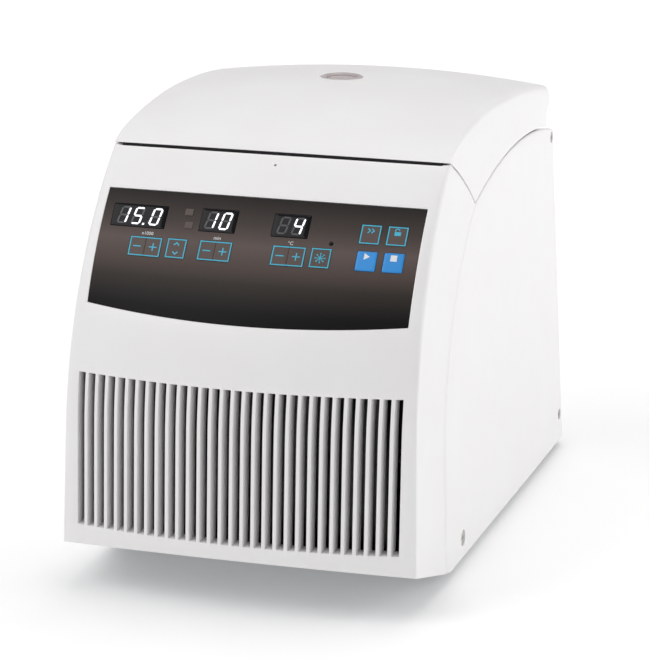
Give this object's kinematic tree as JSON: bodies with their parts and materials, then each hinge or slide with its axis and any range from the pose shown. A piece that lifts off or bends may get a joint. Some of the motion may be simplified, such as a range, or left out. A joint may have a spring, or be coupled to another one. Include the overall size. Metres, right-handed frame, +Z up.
{
  "type": "refrigerated centrifuge",
  "caption": "Bench-top cooled micro-centrifuge with a domed hinged lid, curved control panel, front air grille and slanted-bore rotor.",
  "frame": {"origin": "on the bench, under the middle of the machine's box", "axes": "+Z up, -Y out of the front with the control panel and the grille, +X to the right seen from the front"},
  "size_m": [0.2752, 0.4638, 0.3395],
  "materials": {
    "white_plastic": "moulded ABS, fine satin grain",
    "white_enamel": "powder coated sheet",
    "panel_film": "dark satin film",
    "display_lens": "smoked gloss window",
    "key_dark": "dark satin key",
    "key_blue": "blue satin key",
    "board_green": "circuit board with parts",
    "clear_lens": "clear polycarbonate",
    "stainless": "deep drawn and turned stainless steel",
    "zinc_plate": "zinc plated sheet",
    "cast_aluminium": "bare aluminium",
    "rotor_anodised": "dark anodised aluminium",
    "copper_tube": "drawn copper tube",
    "black_rubber": "moulded rubber",
    "pale_foam": "foamed insulation",
    "black_enamel": "black enamelled steel",
    "black_plastic": "moulded black plastic"
  },
  "bodies": {
    "housing": {"base_tray": "zinc_plate", "foot_front_left": "black_rubber", "foot_front_right": "black_rubber", "foot_rear_left": "black_rubber", "foot_rear_right": "black_rubber", "front_bezel": "white_plastic", "side_cover_left": "white_enamel", "side_cover_right": "white_enamel", "rear_panel": "white_enamel", "top_deck": "white_enamel", "control_panel": "panel_film", "speed_display": "display_lens", "time_display": "display_lens", "temp_display": "display_lens", "control_board": "board_green", "hinge_bracket_left": "zinc_plate", "hinge_bracket_right": "zinc_plate", "hinge_rod": "stainless", "chamber_seal": "black_rubber", "chamber_bowl": "stainless", "evaporator_coil": "copper_tube", "insulation_pot": "pale_foam", "motor_housing": "cast_aluminium", "motor_mount_1": "black_rubber", "motor_mount_2": "black_rubber", "motor_mount_3": "black_rubber", "compressor": "black_enamel", "condenser": "black_enamel", "fan_frame": "black_plastic", "discharge_pipe": "copper_tube", "suction_pipe": "copper_tube", "power_board": "board_green", "power_inlet": "black_plastic", "lock_housing": "black_plastic"},
    "lid": {"lid_cover": "white_plastic", "lid_liner": "white_plastic", "viewport_ring": "clear_lens", "viewport_pane": "clear_lens", "lid_striker": "stainless", "hinge_arm_left": "zinc_plate", "hinge_arm_right": "zinc_plate"},
    "rotor": {"drive_shaft": "stainless", "rotor_body": "rotor_anodised", "rotor_lid": "cast_aluminium", "rotor_knob": "black_plastic"},
    "fan": {"fan_rotor": "black_plastic"},
    "bolt": {"lock_bolt": "stainless"},
    "rocker": {"power_switch": "black_plastic"},
    "speed_minus": {"speed_minus_key": "key_dark"},
    "speed_plus": {"speed_plus_key": "key_dark"},
    "speed_mode": {"speed_mode_key": "key_dark"},
    "time_minus": {"time_minus_key": "key_dark"},
    "time_plus": {"time_plus_key": "key_dark"},
    "temp_minus": {"temp_minus_key": "key_dark"},
    "temp_plus": {"temp_plus_key": "key_dark"},
    "quick_cool": {"quick_cool_key": "key_dark"},
    "pulse": {"pulse_key": "key_dark"},
    "open": {"open_key": "key_dark"},
    "start": {"start_key": "key_blue"},
    "stop": {"stop_key": "key_blue"}
  },
  "joints": [
    {"name": "lid_hinge", "type": "hinge", "parent": "housing", "child": "lid", "pos_m": [0, 0.186, 0.286], "axis": [-1, 0, 0], "range_deg": [0, 78]},
    {"name": "rotor_spin", "type": "hinge", "parent": "housing", "child": "rotor", "pos_m": [0, 0.04, 0.2], "axis": [0, 0, 1], "continuous": true},
    {"name": "fan_spin", "type": "hinge", "parent": "housing", "child": "fan", "pos_m": [0.038, -0.16, 0.098], "axis": [0, 1, 0], "continuous": true},
    {"name": "bolt_slide", "type": "slide", "parent": "housing", "child": "bolt", "axis": [1, 0, 0], "range_m": [0, 0.008]},
    {"name": "rocker_tilt", "type": "hinge", "parent": "housing", "child": "rocker", "pos_m": [-0.078, 0.22014, 0.07549], "axis": [1, 0, 0], "range_deg": [0, 16]},
    {"name": "speed_minus_press", "type": "slide", "parent": "housing", "child": "speed_minus", "axis": [0.0327, 0.8068, -0.59], "range_m": [0, 0.0005], "stiffness_N_per_m": 1500, "springref_m": -0.0004},
    {"name": "speed_plus_press", "type": "slide", "parent": "housing", "child": "speed_plus", "axis": [0.028, 0.7995, -0.6], "range_m": [0, 0.0005], "stiffness_N_per_m": 1500, "springref_m": -0.0004},
    {"name": "speed_mode_press", "type": "slide", "parent": "housing", "child": "speed_mode", "axis": [0.0209, 0.7903, -0.6124], "range_m": [0, 0.0005], "stiffness_N_per_m": 1500, "springref_m": -0.0004},
    {"name": "time_minus_press", "type": "slide", "parent": "housing", "child": "time_minus", "axis": [0.0123, 0.782, -0.6232], "range_m": [0, 0.0005], "stiffness_N_per_m": 1500, "springref_m": -0.0004},
    {"name": "time_plus_press", "type": "slide", "parent": "housing", "child": "time_plus", "axis": [0.008, 0.7794, -0.6264], "range_m": [0, 0.0005], "stiffness_N_per_m": 1500, "springref_m": -0.0004},
    {"name": "temp_minus_press", "type": "slide", "parent": "housing", "child": "temp_minus", "axis": [-0.0067, 0.7784, -0.6277], "range_m": [0, 0.0005], "stiffness_N_per_m": 1500, "springref_m": -0.0004},
    {"name": "temp_plus_press", "type": "slide", "parent": "housing", "child": "temp_plus", "axis": [-0.0109, 0.7806, -0.6249], "range_m": [0, 0.0005], "stiffness_N_per_m": 1500, "springref_m": -0.0004},
    {"name": "quick_cool_press", "type": "slide", "parent": "housing", "child": "quick_cool", "axis": [-0.017, 0.7853, -0.6189], "range_m": [0, 0.0005], "stiffness_N_per_m": 1500, "springref_m": -0.0004},
    {"name": "pulse_press", "type": "slide", "parent": "housing", "child": "pulse", "axis": [-0.0109, 0.7661, -0.6427], "range_m": [0, 0.0005], "stiffness_N_per_m": 1500, "springref_m": -0.0004},
    {"name": "open_press", "type": "slide", "parent": "housing", "child": "open", "axis": [-0.0136, 0.7752, -0.6316], "range_m": [0, 0.0005], "stiffness_N_per_m": 1500, "springref_m": -0.0004},
    {"name": "start_press", "type": "slide", "parent": "housing", "child": "start", "axis": [-0.029, 0.8009, -0.5981], "range_m": [0, 0.0005], "stiffness_N_per_m": 1500, "springref_m": -0.0004},
    {"name": "stop_press", "type": "slide", "parent": "housing", "child": "stop", "axis": [-0.0364, 0.8138, -0.58], "range_m": [0, 0.0005], "stiffness_N_per_m": 1500, "springref_m": -0.0004}
  ]
}
